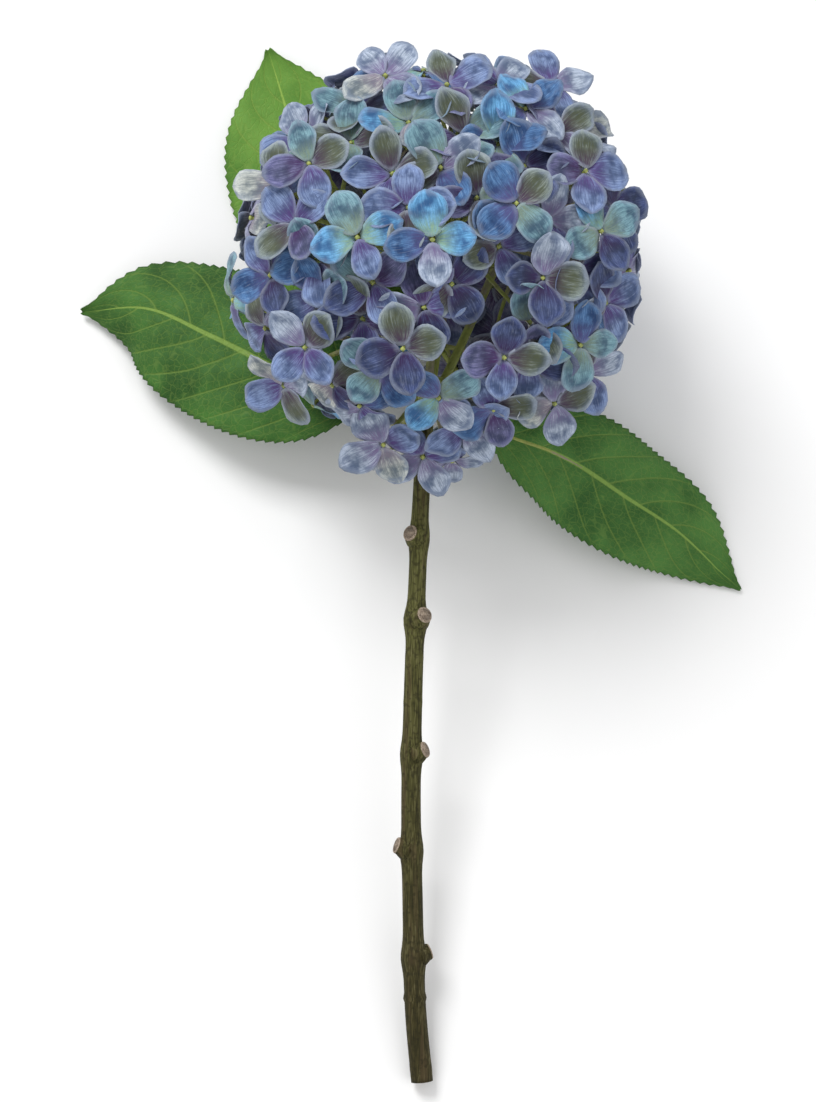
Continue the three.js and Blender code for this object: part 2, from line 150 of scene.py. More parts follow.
def bent_bar(name, line, radii, sides):
    """A cylinder whose rings are moved along a line of points, with a radius for each."""
    steps = len(line) - 1
    bpy.ops.mesh.primitive_cylinder_add(vertices=sides, radius=1, depth=2, end_fill_type="TRIFAN")
    made = bpy.context.object
    made.name = name
    bpy.ops.object.mode_set(mode="EDIT")
    bpy.ops.mesh.select_mode(type="EDGE")
    bpy.ops.mesh.select_all(action="DESELECT")
    bpy.ops.object.mode_set(mode="OBJECT")
    for edge in made.data.edges:
        a, b = (made.data.vertices[i].co.z for i in edge.vertices)
        edge.select = abs(a - b) > 1
    bpy.ops.object.mode_set(mode="EDIT")
    if steps > 1:
        bpy.ops.mesh.subdivide(number_cuts=steps - 1)
    bpy.ops.object.mode_set(mode="OBJECT")
    co = points_of(made)
    line = np.asarray(line, float)
    k = np.rint((co[:, 2] + 1) / 2 * steps).astype(int)
    along = unit(line[np.minimum(k + 1, steps)] - line[np.maximum(k - 1, 0)])
    hint = np.where(np.abs(along[:, 2:]) < 0.9, (0, 0, 1), (1, 0, 0))
    side = unit(np.cross(hint, along))
    other = np.cross(along, side)
    r = np.asarray(radii)[k][:, None]
    move_points(made, line[k] + r * (co[:, :1] * side + co[:, 1:2] * other))
    made.data.shade_smooth()
    return made


def points_of(piece):
    co = np.empty(len(piece.data.vertices) * 3)
    piece.data.vertices.foreach_get("co", co)
    return co.reshape(-1, 3)


def move_points(piece, points):
    piece.data.vertices.foreach_set("co", np.asarray(points, np.float32).ravel())
    piece.data.update()


def joined(first, *others):
    """One piece from several, named as the first."""
    bpy.ops.object.select_all(action="DESELECT")
    for piece in (first, *others):
        piece.select_set(True)
    bpy.context.view_layer.objects.active = first
    bpy.ops.object.join()
    first.select_set(False)
    return first


def finish_for(name, roughness, specular=0.4):
    """A new material that uses nodes, and its Principled shader, with its roughness and specular level set.
    """
    made = bpy.data.materials.new(name)
    made.use_nodes = True
    shader = made.node_tree.nodes["Principled BSDF"]
    shader.inputs["Roughness"].default_value = roughness
    shader.inputs["Specular IOR Level"].default_value = specular
    return made, shader


def node(tree, kind, settings=None, **inputs):
    """A node with its settings, its inputs set or joined to sockets. Input names use _ for spaces."""
    made = tree.nodes.new(kind)
    for key, value in (settings or {}).items():
        setattr(made, key, value)
    for key, value in inputs.items():
        if key[0] == "i" and key[1:].isdigit():
            socket = made.inputs[int(key[1:])]
        else:
            socket = made.inputs[key.replace("_", " ")]
        if isinstance(value, bpy.types.NodeSocket):
            tree.links.new(value, socket)
        else:
            socket.default_value = value
    return made


def calc(tree, operation, a, b=0.5, c=0.5, clamp=False):
    settings = {"operation": operation, "use_clamp": clamp}
    return node(tree, "ShaderNodeMath", settings, i0=a, i1=b, i2=c).outputs[0]


def ramp(tree, value, low, high, to_low=0.0, to_high=1.0):
    """value eased from to_low at low to to_high at high."""
    made = node(tree, "ShaderNodeMapRange", {"interpolation_type": "SMOOTHSTEP"}, Value=value)
    made.inputs["From Min"].default_value = low
    made.inputs["From Max"].default_value = high
    made.inputs["To Min"].default_value = to_low
    made.inputs["To Max"].default_value = to_high
    return made.outputs["Result"]


def blend_colours(tree, share, a, b, kind="MIX"):
    made = tree.nodes.new("ShaderNodeMix")
    made.data_type = "RGBA"
    made.blend_type = kind
    for socket, value in ((made.inputs[0], share), (made.inputs[6], a), (made.inputs[7], b)):
        if isinstance(value, bpy.types.NodeSocket):
            tree.links.new(value, socket)
        else:
            socket.default_value = value
    return made.outputs[2]


# Fibres: long streaks along a plant's own grain. Bark, green stalks and petals all use it.
fibres = bpy.data.node_groups.new("fibres", "ShaderNodeTree")
fibres.interface.new_socket("Place", in_out="INPUT", socket_type="NodeSocketVector")
fibres.interface.new_socket("Fineness", in_out="INPUT", socket_type="NodeSocketFloat")
fibres.interface.new_socket("Streaks", in_out="OUTPUT", socket_type="NodeSocketFloat")
fibres.interface.new_socket("Blotches", in_out="OUTPUT", socket_type="NodeSocketFloat")
group_in = fibres.nodes.new("NodeGroupInput")
group_out = fibres.nodes.new("NodeGroupOutput")
place, fineness = group_in.outputs["Place"], group_in.outputs["Fineness"]
coarse = node(fibres, "ShaderNodeTexNoise", Vector=place, Scale=fineness, Detail=4.0, Roughness=0.6)
finer_scale = calc(fibres, "MULTIPLY", fineness, 2.7)
finer = node(fibres, "ShaderNodeTexNoise", Vector=place, Detail=2.0, Roughness=0.5, Scale=finer_scale)
coarse_part = calc(fibres, "MULTIPLY", coarse.outputs[0], 0.55)
streaks = calc(fibres, "MULTIPLY_ADD", finer.outputs[0], 0.45, coarse_part)
blotch_scale = calc(fibres, "MULTIPLY", fineness, 0.3)
blotches = node(fibres, "ShaderNodeTexNoise", Vector=place, Detail=2.0, Scale=blotch_scale)
fibres.links.new(streaks, group_out.inputs["Streaks"])
fibres.links.new(blotches.outputs[0], group_out.inputs["Blotches"])


def fibres_in(tree, place, fineness):
    made = node(tree, "ShaderNodeGroup", {"node_tree": fibres}, Place=place, Fineness=fineness)
    return made.outputs["Streaks"], made.outputs["Blotches"]


def along_stem(tree, across_scale, along_scale):
    """Object coordinates turned so that Y runs up the lying stem, and stretched."""
    place = node(tree, "ShaderNodeTexCoord").outputs["Object"]
    upright = node(tree, "ShaderNodeMapping", Vector=place, Rotation=(-TILT, 0, 0)).outputs[0]
    scale = (across_scale, along_scale, across_scale)
    return node(tree, "ShaderNodeMapping", Vector=upright, Scale=scale).outputs[0]


BARK_TOP = (0.105, 0.106, 0.03, 1)
BARK_FOOT = (0.048, 0.04, 0.013, 1)
BARK_DARK = (0.018, 0.016, 0.006, 1)
BARK_PALE = (0.19, 0.17, 0.09, 1)
bark_finish, shader = finish_for("fibrous_bark", 0.75, 0.15)
tree = bark_finish.node_tree
streaks, blotches = fibres_in(tree, along_stem(tree, 1, 0.05), 900.0)
up_stem = node(tree, "ShaderNodeSeparateXYZ", Vector=along_stem(tree, 1, 1)).outputs["Y"]
ground = blend_colours(tree, ramp(tree, up_stem, -0.24, 0.03), BARK_FOOT, BARK_TOP)
ground = blend_colours(tree, ramp(tree, streaks, 0.42, 0.62, 0, 0.85), ground, BARK_DARK)
ground = blend_colours(tree, ramp(tree, streaks, 0.5, 0.3, 0, 0.55), ground, BARK_PALE)
ground = blend_colours(tree, ramp(tree, blotches, 0.52, 0.68, 0, 0.45), ground, (0.085, 0.058, 0.03, 1))
place = node(tree, "ShaderNodeTexCoord").outputs["Object"]
specks = node(tree, "ShaderNodeTexNoise", Vector=place, Scale=420.0, Detail=4.0).outputs[0]
ground = blend_colours(tree, ramp(tree, specks, 0.5, 0.66, 0, 0.6), ground, BARK_DARK)
tree.links.new(ground, shader.inputs["Base Color"])
rough = node(tree, "ShaderNodeBump", Height=streaks, Strength=0.5, Distance=0.0006)
tree.links.new(rough.outputs[0], shader.inputs["Normal"])

cork_finish, shader = finish_for("corky_scar", 0.85)
tree = cork_finish.node_tree
place = node(tree, "ShaderNodeTexCoord").outputs["Object"]
grain = node(tree, "ShaderNodeTexNoise", Vector=place, Scale=1800.0, Detail=3.0).outputs[0]
tree.links.new(blend_colours(tree, ramp(tree, grain, 0.35, 0.7), (0.2, 0.15, 0.11, 1), (0.42, 0.34, 0.26, 1)),
               shader.inputs["Base Color"])
tree.links.new(node(tree, "ShaderNodeBump", Height=grain, Strength=0.4, Distance=0.0004).outputs[0],
               shader.inputs["Normal"])

# distance up the stem and height of the thin rings that old bud scales left
BARK_RINGS = [
    (0.007, 0.0005), (0.0384, 0.0007), (0.122, 0.0004), (0.1745, 0.0007), (0.197, 0.0006), (0.262, 0.0005),
]
BARK_RING_WIDTH = 0.0007
stem_shares = np.linspace(0, 1, 300)
stem_radii = STEM_END_RADIUS + (STEM_TOP_RADIUS - STEM_END_RADIUS) * stem_shares
for share, swell, _ in STEM_JOINTS:
    stem_radii += swell * np.exp(-(((stem_shares - share) * STEM_LENGTH / JOINT_SPREAD) ** 2))
for up, height in BARK_RINGS:
    stem_radii += height * np.exp(-(((stem_shares * STEM_LENGTH - up) / BARK_RING_WIDTH) ** 2))
stem = bent_bar("stem_shoot", laid(stem_middle(stem_shares)), stem_radii, 28)
resting = points_of(stem)
resting[:, 2] = np.maximum(resting[:, 2], 0)
move_points(stem, resting)
stem.data.materials.append(bark_finish)
stem.data.materials.append(cork_finish)
cut_face_at = laid((0, 0.0001, 0)) @ LAID[:, 1]
for face in stem.data.polygons:
    face.material_index = int(np.array(face.center) @ LAID[:, 1] < cut_face_at)
stubs = []
for share, swell, degrees in STEM_JOINTS:
    angle = math.radians(degrees)
    out = unit((math.cos(angle), STUB_LEAN, math.sin(angle)))
    root = stem_middle(share)[0]
    reach = STEM_END_RADIUS + (STEM_TOP_RADIUS - STEM_END_RADIUS) * share + swell + STUB_REACH
    steps = np.array((0.3, 0.62, 0.8, 0.92, 0.985, 1.0, 0.95))
    radii = STUB_RADIUS * np.array((1.7, 1.35, 1.12, 1.08, 1.0, 0.8, 0.45))
    stub = bent_bar("stub", laid(root + np.outer(steps * reach, out)), radii, 20)
    stub.data.materials.append(bark_finish)
    stub.data.materials.append(cork_finish)
    for face in stub.data.polygons:
        face.material_index = int((np.array(face.center) - laid(root)) @ (LAID @ out) > reach * 0.93)
    stubs.append(stub)
joined(stem, *stubs)
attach(stem, "root")
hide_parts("stem")

# ---------------------------------------------------------------- truss
# The green branches inside the head. Arms fan out from the top of the stem, swelling where each divides into
# the stalks of the florets.
TRUSS_FOOT = 0.005
ARM_RADIUS = 0.0021
KNUCKLE_RADIUS = 0.004
JOINT_GAP = 0.0003
# across, up and forward from the middle of the head, as shares of its radius
KNUCKLES = HEAD_MIDDLE + HEAD_RADIUS * np.array((
    (0.1, 0.44, 0.08), (-0.4, 0.12, 0.24), (0.38, 0.14, 0.24), (-0.34, 0.08, -0.32), (0.36, 0.1, -0.32),
    (0.02, 0.02, 0.45), (-0.36, -0.42, 0.16), (0.36, -0.42, 0.18), (-0.08, -0.6, 0.36), (0.02, -0.4, -0.4),
))

STALK_GREEN = (0.3, 0.34, 0.07, 1)
STALK_FLUSH = (0.24, 0.17, 0.2, 1)
stalk_finish, shader = finish_for("green_stalk", 0.5)
tree = stalk_finish.node_tree
place = node(tree, "ShaderNodeTexCoord").outputs["Object"]
streaks, blotches = fibres_in(tree, place, 260.0)
ground = blend_colours(tree, ramp(tree, blotches, 0.48, 0.66, 0, 0.7), STALK_GREEN, STALK_FLUSH)
ground = blend_colours(tree, ramp(tree, streaks, 0.42, 0.66, 0, 0.45), ground, (0.12, 0.15, 0.03, 1))
tree.links.new(ground, shader.inputs["Base Color"])
tree.links.new(node(tree, "ShaderNodeBump", Height=streaks, Strength=0.25, Distance=0.0005).outputs[0],
               shader.inputs["Normal"])

foot = stem_middle(1)[0] + (0, JOINT_GAP, 0)
crown = foot + (0, TRUSS_FOOT, 0)
radii = STEM_TOP_RADIUS * np.array((1, 0.98, 0.95, 0.8))
truss = bent_bar("truss_branches", laid(np.linspace(foot, crown, 4)), radii, 16)
arms = []
for knuckle in KNUCKLES:
    start = crown - (0, TRUSS_FOOT / 2, 0)
    bend = start + 0.45 * (knuckle - start) - (0, 0.06 * HEAD_RADIUS, 0)
    t = np.linspace(0, 1, 14)[:, None]
    line = (1 - t) ** 2 * start + 2 * t * (1 - t) * bend + t * t * knuckle
    tip = line[-1] + unit(line[-1] - line[-2]) * KNUCKLE_RADIUS * 0.9
    line = np.vstack((line, (line[-1] + tip) / 2, tip))
    swell = np.exp(-((np.linalg.norm(line - knuckle, axis=1) / KNUCKLE_RADIUS) ** 2))
    radii = ARM_RADIUS * np.linspace(1, 0.8, len(line)) + (KNUCKLE_RADIUS - ARM_RADIUS) * swell
    radii[-1] *= 0.4
    arms.append(bent_bar("arm", laid(line), radii, 12))
joined(truss, *arms)
truss.data.materials.append(stalk_finish)
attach(truss, "root")
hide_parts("truss")

# ---------------------------------------------------------------- leaves
# Three broad, coarse leaves on long stalks from the top joint of the stem. The blade is quilted between its
# side veins, and its edge is cut into fine forward-pointing teeth.
LEAF_THICKNESS = 0.0007
MIDRIB_DEPTH = 0.0013
PETIOLE_RADIUS = 0.002
SURFACE_GAP = 0.0006
LEAF_JOINT_DEPTH = 0.009
SIDE_VEINS = 8
VEIN_SWEEP = 0.26
TEETH = 38
TOOTH_DEPTH = 0.0017
QUILT_DEPTH = 0.0011
BLADE_ROWS = TEETH * 4
BLADE_COLUMNS = 32
# share of the blade from base to tip, and its half width there as a share of the widest
BLADE_OUTLINE = np.array((
    (0, 0.06), (0.08, 0.48), (0.17, 0.75), (0.29, 0.94), (0.42, 1), (0.58, 0.95),
    (0.72, 0.79), (0.82, 0.58), (0.9, 0.33), (0.96, 0.12), (1, 0.02),
))
# Routes in hundredths of the head's radius, from the top of the stem.
LEAVES = {
    "leaf_back": dict(
        lies=True, stalk=[(-3, 14, -38), (-9, 42, -74)],
        midrib=[(-14, 57, -86), (-38, 98, -98), (-65, 152, -108), (-83, 207, -119)],
        half_width=0.045, arch=0.0, slot="leaf_fresh",
        green=(0.15, 0.32, 0.05, 1), dark=(0.08, 0.21, 0.03, 1)),
    "leaf_left": dict(
        lies=False, stalk=[(-13, 0, -15)],
        midrib=[(-30, 8, -30), (-68, 26, -46), (-111, 48, -62), (-145, 63, -76), (-180, 62, -88)],
        half_width=0.039, arch=0.006, slot="leaf_old",
        green=(0.052, 0.16, 0.027, 1), dark=(0.018, 0.068, 0.013, 1)),
    "leaf_right": dict(
        lies=False, stalk=[(17, -5, -9)],
        midrib=[(33, -3, -18), (73, -17, -32), (107, -38, -44), (136, -57, -54), (166, -86, -63)],
        half_width=0.029, arch=0.005, slot="leaf_old",
        green=(0.07, 0.195, 0.04, 1), dark=(0.024, 0.09, 0.019, 1)),
}
outline = catmull_rom(BLADE_OUTLINE, np.linspace(0, 1, 400))


def from_top(points):
    return np.asarray(points, float) * HEAD_RADIUS / 100 + (0, STEM_LENGTH, 0)


def even_steps(points, count):
    """A smooth curve through the points, as count places an even distance apart."""
    fine = catmull_rom(points, np.linspace(0, 1, 600))
    length = np.concatenate(([0], np.cumsum(np.linalg.norm(np.diff(fine, axis=0), axis=1))))
    at = np.linspace(0, length[-1], count)
    return np.stack([np.interp(at, length, fine[:, i]) for i in range(3)], axis=1)


def raised(points, height, flat):
    """Points brought up to a height above the surface, or to exactly that height where flat."""
    lack = height - height_of(points)
    return points + np.where(flat, lack, np.maximum(lack, 0))[:, None] * UP


def blade_points(leaf, share, s):
    """Places on a blade's upper face, share from base to tip and s from edge (-1) to edge (1)."""
    route = even_steps(from_top(leaf["midrib"]), 400)
    at = np.linspace(0, 1, 400)
    middle = np.stack([np.interp(share, at, route[:, i]) for i in range(3)], axis=1)
    step = np.gradient(route, axis=0)
    along = unit(np.stack([np.interp(share, at, step[:, i]) for i in range(3)], axis=1))
    across = unit(np.cross(UP, along))
    face = np.cross(along, across)
    width = np.interp(share, outline[:, 0], outline[:, 1])
    tooth = (share * TEETH + 0.001) % 1
    edge = np.clip((np.abs(s) - 0.86) / 0.14, 0, 1)
    reach = width * leaf["half_width"] + TOOTH_DEPTH * (tooth - 0.5) * edge * np.clip(width * 3, 0.2, 1)
    vein = SIDE_VEINS * (share - VEIN_SWEEP * np.abs(s) ** 1.2) + 0.5 * (s > 0)
    quilt = np.abs(np.sin(np.pi * vein)) ** 0.7 * np.clip(np.abs(s) * 6, 0, 1) * (1 - np.abs(s) ** 4)
    trough = 0.0012 * np.abs(s) * (1 - np.exp(-np.abs(s) * 5))
    wave = 0.0011 * np.sin(share * 17 + 2 * np.sign(s)) * s * s + trough
    middle = middle + across * (s * reach)[:, None]
    middle = middle + face * (-leaf["arch"] * width * s * s + LEAF_THICKNESS + wave)[:, None]
    height = SURFACE_GAP + MIDRIB_DEPTH + LEAF_THICKNESS
    lift = QUILT_DEPTH * quilt * width + (wave if leaf["lies"] else 0)
    return raised(middle, height, leaf["lies"]) + face * np.reshape(lift, (-1, 1))


def leaf_finish(name, green, dark):
    made, shader = finish_for(name, 0.5, 0.15)
    tree = made.node_tree
    blade_uv = node(tree, "ShaderNodeUVMap", {"uv_map": "blade"}).outputs[0]
    uv = node(tree, "ShaderNodeSeparateXYZ", Vector=blade_uv)
    across = calc(tree, "MULTIPLY_ADD", uv.outputs["X"], 2.0, -1.0)
    s = calc(tree, "ABSOLUTE", across)
    share = uv.outputs["Y"]
    swept = calc(tree, "MULTIPLY", calc(tree, "POWER", s, 1.2), -VEIN_SWEEP)
    vein = calc(tree, "MULTIPLY", calc(tree, "ADD", share, swept), float(SIDE_VEINS))
    vein = calc(tree, "MULTIPLY_ADD", calc(tree, "GREATER_THAN", across, 0.0), 0.5, vein)
    off_vein = calc(tree, "ABSOLUTE", calc(tree, "SUBTRACT", calc(tree, "FRACT", vein), 0.5))
    side_line = ramp(tree, calc(tree, "SUBTRACT", 0.5, off_vein), 0.06, 0.0)
    side_line = calc(tree, "MULTIPLY", side_line, ramp(tree, s, 1.0, 0.75, 0.25, 1.0))
    rib_width = ramp(tree, share, 0.0, 1.0, 0.055, 0.03)
    rib_line = calc(tree, "SUBTRACT", 1.0, calc(tree, "DIVIDE", s, rib_width), clamp=True)
    rib_line = ramp(tree, rib_line, 0.0, 0.5)
    flat = node(tree, "ShaderNodeMapping", Vector=blade_uv, Scale=(22.0, 42.0, 1.0)).outputs[0]
    wobble = node(tree, "ShaderNodeTexNoise", Vector=flat, Scale=0.7, Detail=2.0)
    bent = node(tree, "ShaderNodeVectorMath", {"operation": "MULTIPLY_ADD"}, i0=wobble.outputs[1],
                i1=(0.9, 0.9, 0), i2=flat).outputs[0]
    cells = {"feature": "DISTANCE_TO_EDGE"}
    net = node(tree, "ShaderNodeTexVoronoi", cells, Vector=bent, Scale=1.0).outputs[0]
    fine = node(tree, "ShaderNodeTexVoronoi", cells, Vector=bent, Scale=3.1).outputs[0]
    net_line = ramp(tree, net, 0.09, 0.0, 0, 1)
    fine_line = ramp(tree, fine, 0.12, 0.0, 0, 1)
    place = node(tree, "ShaderNodeTexCoord").outputs["Object"]
    patches = node(tree, "ShaderNodeTexNoise", Vector=place, Scale=45.0, Detail=4.0).outputs[0]
    pale = tuple(0.55 * c + d for c, d in zip(green[:3], (0.13, 0.16, 0.035))) + (1,)
    ground = blend_colours(tree, ramp(tree, patches, 0.25, 0.75), green, dark)
    ground = blend_colours(tree, calc(tree, "MULTIPLY", fine_line, 0.16), ground, pale)
    ground = blend_colours(tree, calc(tree, "MULTIPLY", net_line, 0.3), ground, pale)
    ground = blend_colours(tree, calc(tree, "MULTIPLY", side_line, 0.62), ground, pale)
    palest = tuple(1.35 * c for c in pale[:3]) + (1,)
    ground = blend_colours(tree, calc(tree, "MULTIPLY", rib_line, 0.85), ground, palest)
    darkest = tuple(0.45 * c for c in dark[:3]) + (1,)
    ground = blend_colours(tree, ramp(tree, s, 0.93, 1.0, 0, 0.35), ground, darkest)
    tree.links.new(ground, shader.inputs["Base Color"])
    sunk = calc(tree, "MULTIPLY_ADD", net_line, 0.35, calc(tree, "MULTIPLY", side_line, 0.8))
    sunk = calc(tree, "MULTIPLY_ADD", fine_line, 0.15, calc(tree, "ADD", sunk, rib_line))
    bump = node(tree, "ShaderNodeBump", {"invert": True}, Height=sunk, Strength=0.55, Distance=0.0007)
    tree.links.new(bump.outputs[0], shader.inputs["Normal"])
    tree.links.new(ramp(tree, patches, 0.3, 0.7, 0.45, 0.62), shader.inputs["Roughness"])
    return made


leaf_joint_share = 1 - LEAF_JOINT_DEPTH / STEM_LENGTH
leaf_joint = stem_middle(leaf_joint_share)[0]
joint_radius = STEM_END_RADIUS + (STEM_TOP_RADIUS - STEM_END_RADIUS) * leaf_joint_share
for name, leaf in LEAVES.items():
    bpy.ops.mesh.primitive_grid_add(x_subdivisions=BLADE_COLUMNS, y_subdivisions=BLADE_ROWS, size=2)
    blade = bpy.context.object
    blade.name = name + "_blade"
    blade.data.uv_layers[0].name = "blade"
    at = points_of(blade)
    # columns gather towards the edge, so that the teeth are cut cleanly
    s = np.sign(at[:, 0]) * (1 - (1 - np.abs(at[:, 0])) ** 1.35)
    move_points(blade, laid(blade_points(leaf, (at[:, 1] + 1) / 2, s)))
    loops = np.empty(len(blade.data.loops), int)
    blade.data.loops.foreach_get("vertex_index", loops)
    uv = np.stack(((s + 1) / 2, (at[:, 1] + 1) / 2), axis=1)[loops]
    blade.data.uv_layers["blade"].data.foreach_set("uv", uv.astype(np.float32).ravel())
    if blade.data.polygons[len(blade.data.polygons) // 2].normal.z < 0:
        blade.data.flip_normals()
    thick = blade.modifiers.new("thickness", "SOLIDIFY")
    thick.thickness = LEAF_THICKNESS
    thick.offset = -1
    bpy.ops.object.modifier_apply(modifier="thickness")
    blade.data.shade_smooth()
    finish = leaf_finish(name + "_green", leaf["green"], leaf["dark"])
    blade.data.materials.append(finish)
    blade.data.materials.append(stalk_finish)
    # the stalk runs on under the blade as its midrib
    outward = unit(from_top(leaf["stalk"][0]) - leaf_joint)
    clear = (joint_radius + PETIOLE_RADIUS * abs(outward[1])) / math.hypot(outward[0], outward[2])
    rib_shares = np.array((0.02, 0.1, 0.25, 0.45, 0.7, 0.9))
    rib = blade_points(leaf, rib_shares, np.zeros(6)) - UP * (LEAF_THICKNESS + 0.0004)
    route = even_steps(np.vstack((leaf_joint + outward * clear, from_top(leaf["stalk"]), rib)), 60)
    left = np.linalg.norm(route - rib[0], axis=1).argmin() / 59
    taper = np.interp(np.linspace(0, 1, 60), (0, left * 0.12, left, 1), (1.35, 1.0, 0.75, 0.2))
    radii = taper * PETIOLE_RADIUS
    route = route + UP * np.maximum(0, SURFACE_GAP + radii - height_of(route))[:, None]
    petiole = bent_bar(name + "_stalk", laid(route), radii, 14)
    petiole.data.materials.append(finish)
    petiole.data.materials.append(stalk_finish)
    for face in petiole.data.polygons:
        face.material_index = 1
    joined(blade, petiole)
    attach(blade, "root")
    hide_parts(name)

# ---------------------------------------------------------------- florets
# Sterile florets of four broad sepals round a tiny button, in threes on forking green stalks. The sepals are
# thin and veined, paler along the rim, and turn from blue and violet to olive as the head ages.
FLORET_RADIUS = 0.0205
SEPAL_THICKNESS = 0.00028
EYE_RADIUS = 0.0013
BUTTON_LIFT = 0.0007
STALK_RADIUS = 0.0013
PEDICEL_RADIUS = 0.0008
FORK_SHARE = 0.42
# how a pose carries its sepals: rise, curl and cup, how far the floret stands out, and how much it looks
# forward
POSES = {
    "F": (0.14, -0.02, 0.25, 0.006, 0.9),  # open, standing proud
    "f": (0.18, 0.02, 0.4, 0.002, 0.4),  # open
    "c": (0.27, 0.1, 0.8, -0.005, 0.3),  # cupped, sunk between others
    "r": (0.10, -0.42, 0.35, 0.0, 0.3),  # bent back
}
# Colours: tint, throat, and shares of olive in the middle and of paleness at the rim
SEPAL_COLOURS = {
    "s": ((0.09, 0.26, 0.50), (0.24, 0.38, 0.24), 0.0, 0.3),  # sky
    "b": ((0.05, 0.125, 0.29), (0.08, 0.07, 0.20), 0.0, 0.3),  # blue
    "t": ((0.12, 0.235, 0.31), (0.20, 0.27, 0.20), 0.1, 0.4),  # teal
    "p": ((0.13, 0.19, 0.38), (0.08, 0.04, 0.17), 0.15, 0.4),  # periwinkle
    "i": ((0.038, 0.058, 0.17), (0.035, 0.015, 0.07), 0.2, 0.35),  # indigo
    "v": ((0.095, 0.10, 0.24), (0.05, 0.015, 0.085), 0.2, 0.4),  # violet
    "l": ((0.27, 0.33, 0.46), (0.17, 0.13, 0.26), 0.15, 0.35),  # lavender grey
    "o": ((0.15, 0.19, 0.20), (0.06, 0.03, 0.07), 0.9, 0.6),  # olive with a cream rim
    "c": ((0.36, 0.40, 0.42), (0.2, 0.16, 0.22), 0.3, 0.35),  # cream grey
}
# The florets of the front, in threes: across and up in hundredths of the head's radius, turn in degrees,
# colours of the four sepals from the turn onwards, and pose
FRONT_CYMES = [
    [(-35, 10, 20, "stsp", "F"), (-32, -11, 30, "vtip", "c"), (-60, 0, 15, "otbp", "c")],
    [(-2, 9, 5, "ssbl", "F"), (-13, 24, 0, "pppo", "f"), (-22, 43, 10, "oopp", "c")],
    [(-57, 43, 20, "otvp", "F"), (-68, 61, 35, "llpt", "c"), (-43, 59, 5, "otot", "c")],
    [(-74, 36, 10, "boco", "f"), (-66, 17, 40, "ppov", "f"), (-78, -7, 25, "bpbi", "f")],
    [(-23, 83, 45, "llcl", "F"), (-40, 76, 0, "ibto", "c"), (-14, 69, 20, "ttsc", "c")],
    [(5, 82, 15, "popv", "f"), (31, 58, 0, "bsbt", "c"), (14, 62, 25, "tovt", "c")],
    [(53, 80, 10, "lpop", "F"), (42, 71, 30, "bsbl", "f"), (29, 82, 40, "lplp", "f")],
    [(58, 60, 35, "ovpl", "f"), (72, 66, 5, "clol", "c"), (44, 47, 20, "ibvi", "c")],
    [(67, 40, 0, "povp", "F"), (93, 34, 30, "olpo", "r"), (84, 24, 15, "iibi", "f")],
    [(74, 13, 25, "tsti", "F"), (56, 20, 0, "llvp", "c"), (71, -7, 20, "poip", "c")],
    [(20, 31, 15, "tovo", "c"), (2, 46, 30, "ltob", "c"), (35, 25, 40, "obbt", "F")],
    [(49, -8, 0, "olii", "f"), (31, 7, 20, "pbop", "c"), (47, -31, 35, "ptvo", "c")],
    [(7, -11, 40, "ipoi", "r"), (-6, -22, 10, "pvli", "r"), (-15, -39, 15, "ooii", "F")],
    [(80, -20, 30, "piop", "f"), (95, -5, 10, "lplo", "r"), (65, -38, 0, "tbst", "F")],
    [(-37, -29, 5, "voip", "c"), (-26, -51, 35, "sttb", "f"), (-58, -18, 20, "tbpo", "c")],
    [(-59, -39, 40, "olpp", "F"), (-83, -33, 15, "lopi", "r"), (-101, -20, 0, "stsp", "r")],
    [(-73, -60, 10, "lcpo", "f"), (-50, -60, 30, "olci", "r"), (-37, -70, 20, "bolp", "r")],
    [(30, -43, 0, "oivp", "F"), (27, -70, 25, "opbv", "f"), (1, -64, 40, "tbsl", "f")],
    [(54, -65, 15, "olcl", "F"), (72, -54, 35, "lobp", "f"), (45, -50, 5, "ivop", "c")],
    [(-24, -84, 20, "pllc", "F"), (-25, -99, 0, "clcc", "f"), (-6, -90, 30, "ppll", "F")],
    [(8, -97, 10, "lpll", "f"), (14, -78, 35, "pppl", "f")],
]
# The sides and back of the head: an even spiral of threes, leaving out florets too near to one of the front
SPIRAL_CYMES = 51
SPIRAL_BACK = 0.3
STEM_CLEARING = -0.86
CYME_SPREAD = 0.203
SMALLEST_FLORET = 0.009
FRONT_CLEARING = 0.265
BACK_DEPTH = 0.93
HEAD_NOD = math.radians(5.5)
LEAF_GAP = 0.005
LEAF_CUSHION = 0.0044  # florets above the back leaf keep this much further off the surface
DISH_DEPTH = 0.0062  # from a floret's eye up to its sepals' tips
GOLDEN_ANGLE = math.pi * (3 - math.sqrt(5))
BACK_MIXES = ("ppov", "lplo", "bsbt", "oivp", "llcl", "tbst", "vpob", "pbsp", "polp", "ocvo")


def chance(i, k):
    """A steady number from 0 to 1 for item i, a different series for each k."""
    s = math.sin(i * 12.9898 + k * 78.233) * 43758.5453
    return s - math.floor(s)


# places all over the leaves, for keeping the florets off them
leaf_points = []
for name, leaf in LEAVES.items():
    for share in ([0] if leaf["lies"] else [0, 0.15, 0.3, 0.45, 0.6, 0.8, 1]):
        leaf_points.append(blade_points(leaf, np.full(5, share), np.linspace(-1, 1, 5)))
    blade_start = leaf_points[-1][2] if leaf["lies"] else from_top(leaf["midrib"][0])
    leaf_points.append(even_steps(np.vstack((leaf_joint, from_top(leaf["stalk"]), blade_start)), 7))
leaf_points = np.vstack(leaf_points)
back_blade = catmull_rom(from_top(LEAVES["leaf_back"]["midrib"]), np.linspace(0, 1, 13))


